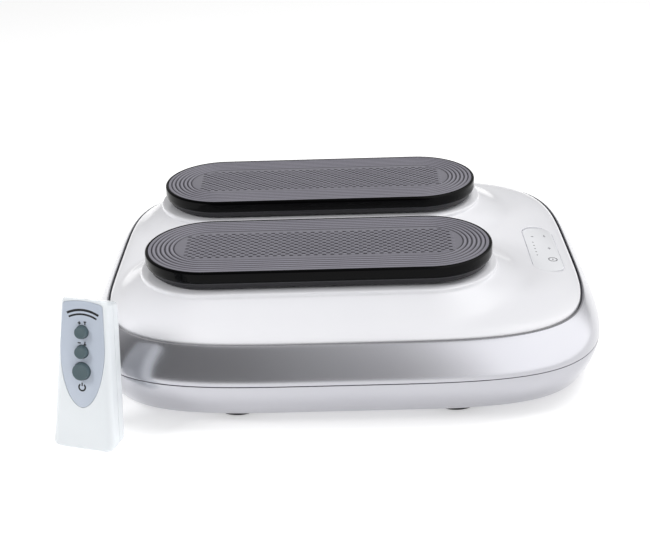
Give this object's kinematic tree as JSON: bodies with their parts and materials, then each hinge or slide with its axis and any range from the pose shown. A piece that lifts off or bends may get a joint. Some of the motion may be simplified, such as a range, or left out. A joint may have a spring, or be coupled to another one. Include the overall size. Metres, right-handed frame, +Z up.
{
  "type": "seated leg exerciser",
  "caption": "Powered seated leg exerciser: low rounded housing with opposed sliding foot pedals, a touch panel at the toe end and a loose hand remote.",
  "frame": {"origin": "on the floor, under the middle of the box round the machine and its remote", "axes": "+X to the toe end, where the touch panel is; +Y to the user's left; +Z up"},
  "size_m": [0.4854, 0.44, 0.1266],
  "materials": {
    "cover_white": "glossy moulded white",
    "band_silver": "metallic silver paint on plastic",
    "seal_rubber": "dark soft seal",
    "panel_grey": "smooth light grey touch film",
    "circuit_green": "green solder mask",
    "socket_black": "black moulded socket",
    "chassis_zinc": "zinc-plated sheet steel",
    "cast_alloy": "as-cast alloy",
    "motor_case": "dark enamel on steel",
    "ground_steel": "ground bright steel",
    "mat_rubber": "ribbed grey rubber",
    "rim_black": "piano-black gloss",
    "base_dark": "dark satin plastic",
    "pin_nylon": "natural nylon over steel",
    "cell_jacket": "glossy cell jacket",
    "foot_rubber": "dark soft rubber",
    "bush_bronze": "sintered bronze",
    "face_plate_blue": "pale blue-grey film",
    "button_slate": "slate green-grey moulded",
    "lamp_dark": "dark infrared lamp"
  },
  "bodies": {
    "base": {"top_cover": "cover_white", "middle_ring": "band_silver", "lower_shell": "band_silver", "cover_seal": "seal_rubber", "control_panel": "panel_grey", "panel_board": "circuit_green", "control_board": "circuit_green", "inlet_socket": "socket_black", "chassis_plate": "chassis_zinc", "gear_box": "cast_alloy", "gear_motor": "motor_case", "beam_pivot": "ground_steel", "rubber_foot_right_heel": "foot_rubber", "rod_block_right_heel": "cast_alloy", "rubber_foot_right_toe": "foot_rubber", "rod_block_right_toe": "cast_alloy", "right_inner_guide_rod": "ground_steel", "right_outer_guide_rod": "ground_steel", "rubber_foot_left_heel": "foot_rubber", "rod_block_left_heel": "cast_alloy", "rubber_foot_left_toe": "foot_rubber", "rod_block_left_toe": "cast_alloy", "left_inner_guide_rod": "ground_steel", "left_outer_guide_rod": "ground_steel"},
    "right_pedal": {"right_pedal_mat": "mat_rubber", "right_pedal_rim": "rim_black", "right_pedal_base": "base_dark", "right_carriage": "cast_alloy", "right_inner_bush_heel": "bush_bronze", "right_inner_bush_toe": "bush_bronze", "right_outer_bush_heel": "bush_bronze", "right_outer_bush_toe": "bush_bronze"},
    "left_pedal": {"left_pedal_mat": "mat_rubber", "left_pedal_rim": "rim_black", "left_pedal_base": "base_dark", "left_carriage": "cast_alloy", "left_inner_bush_heel": "bush_bronze", "left_inner_bush_toe": "bush_bronze", "left_outer_bush_heel": "bush_bronze", "left_outer_bush_toe": "bush_bronze"},
    "beam": {"rocker_beam": "chassis_zinc", "beam_pin_right": "pin_nylon", "beam_pin_left": "pin_nylon", "drive_pin": "ground_steel"},
    "rod": {"connecting_rod": "cast_alloy"},
    "crank": {"crank_disc": "ground_steel"},
    "remote": {"remote_front_shell": "cover_white", "remote_back_shell": "cover_white", "remote_face_plate": "face_plate_blue", "remote_board": "circuit_green", "remote_lamp": "lamp_dark", "remote_cell_right": "cell_jacket", "remote_cell_left": "cell_jacket"},
    "up_button": {"remote_up_button": "button_slate"},
    "down_button": {"remote_down_button": "button_slate"},
    "power_button": {"remote_power_button": "button_slate"},
    "battery_door": {"remote_battery_door": "cover_white"}
  },
  "joints": [
    {"name": "right_pedal_slide", "type": "slide", "parent": "base", "child": "right_pedal", "axis": [1, 0, 0], "range_m": [-0.025, 0.025]},
    {"name": "left_pedal_slide", "type": "slide", "parent": "base", "child": "left_pedal", "axis": [1, 0, 0], "range_m": [-0.025, 0.025]},
    {"name": "beam_swing", "type": "hinge", "parent": "base", "child": "beam", "pos_m": [-0.01539, 0.01538, 0.051], "axis": [0, 0, 1], "range_deg": [-18.5, 18.5]},
    {"name": "rod_swing", "type": "hinge", "parent": "beam", "child": "rod", "pos_m": [-0.01539, -0.02519, 0.061], "axis": [0, 0, 1], "range_deg": [-18.5, 18.5]},
    {"name": "crank_turn", "type": "hinge", "parent": "base", "child": "crank", "pos_m": [0.0616, -0.02519, 0.051], "axis": [0, 0, 1], "continuous": true},
    {"name": "remote_lift", "type": "slide", "parent": "base", "child": "remote", "axis": [0, 0, 1], "range_m": [0, 0.25]},
    {"name": "up_button_press", "type": "slide", "parent": "remote", "child": "up_button", "axis": [0.2674, 0.9327, -0.2419], "range_m": [0, 0.0012], "stiffness_N_per_m": 600},
    {"name": "down_button_press", "type": "slide", "parent": "remote", "child": "down_button", "axis": [0.2674, 0.9327, -0.2419], "range_m": [0, 0.0012], "stiffness_N_per_m": 600},
    {"name": "power_button_press", "type": "slide", "parent": "remote", "child": "power_button", "axis": [0.2674, 0.9327, -0.2419], "range_m": [0, 0.0012], "stiffness_N_per_m": 600},
    {"name": "battery_door_pull", "type": "slide", "parent": "remote", "child": "battery_door", "axis": [0.2674, 0.9327, -0.2419], "range_m": [0, 0.012]}
  ],
  "couplings": [
    {"joint": "left_pedal_slide", "follows": "right_pedal_slide", "ratio": -1},
    {"joint": "beam_swing", "follows": "right_pedal_slide", "rad_per_m": 12.527},
    {"joint": "rod_swing", "follows": "right_pedal_slide", "rad_per_m": -12.527}
  ]
}
